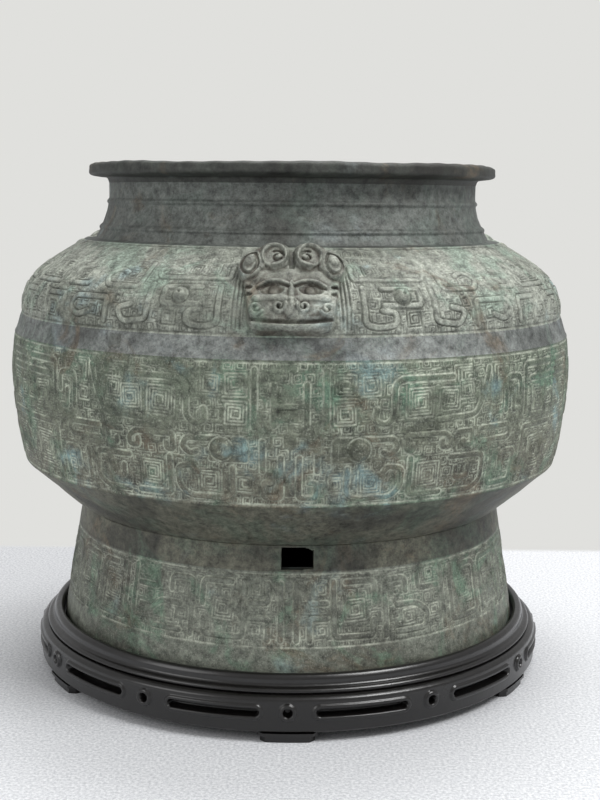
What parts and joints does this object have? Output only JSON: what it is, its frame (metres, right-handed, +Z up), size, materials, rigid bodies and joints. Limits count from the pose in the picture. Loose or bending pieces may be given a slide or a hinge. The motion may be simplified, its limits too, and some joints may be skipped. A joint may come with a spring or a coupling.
{
  "type": "ritual jar on stand",
  "caption": "Squat round-shouldered bronze jar with a short neck, everted rim, tall foot ring and animal heads on the shoulder, standing loose on a low lacquered wooden stand.",
  "frame": {"origin": "middle of the stand's footprint on the table", "axes": "+Z up along the jar's axis, front head towards -Y"},
  "size_m": [0.327, 0.328, 0.2933],
  "materials": {
    "bronze_patina": "old cast bronze with a grey-green patina",
    "bronze_head": "cast bronze with a pale grey-green patina, brown in the recesses",
    "dark_wood": "near-black gloss lacquer over hardwood"
  },
  "bodies": {
    "stand": {"stand_apron": "dark_wood", "stand_seat_board": "dark_wood", "stand_top_ring": "dark_wood", "stand_foot_1": "dark_wood", "stand_foot_2": "dark_wood", "stand_foot_3": "dark_wood", "stand_foot_4": "dark_wood", "stand_foot_5": "dark_wood", "stand_foot_6": "dark_wood", "stand_dowel_1": "dark_wood", "stand_dowel_2": "dark_wood", "stand_dowel_3": "dark_wood", "stand_dowel_4": "dark_wood", "stand_dowel_5": "dark_wood", "stand_dowel_6": "dark_wood"},
    "jar": {"jar_body": "bronze_patina", "animal_head_front": "bronze_head", "animal_head_back_right": "bronze_head", "animal_head_back_left": "bronze_head", "chaplet_1": "bronze_patina", "chaplet_2": "bronze_patina", "chaplet_3": "bronze_patina"}
  },
  "joints": [
    {"name": "jar_lift", "type": "slide", "parent": "stand", "child": "jar", "axis": [0, 0, 1], "range_m": [0, 0.12]}
  ]
}
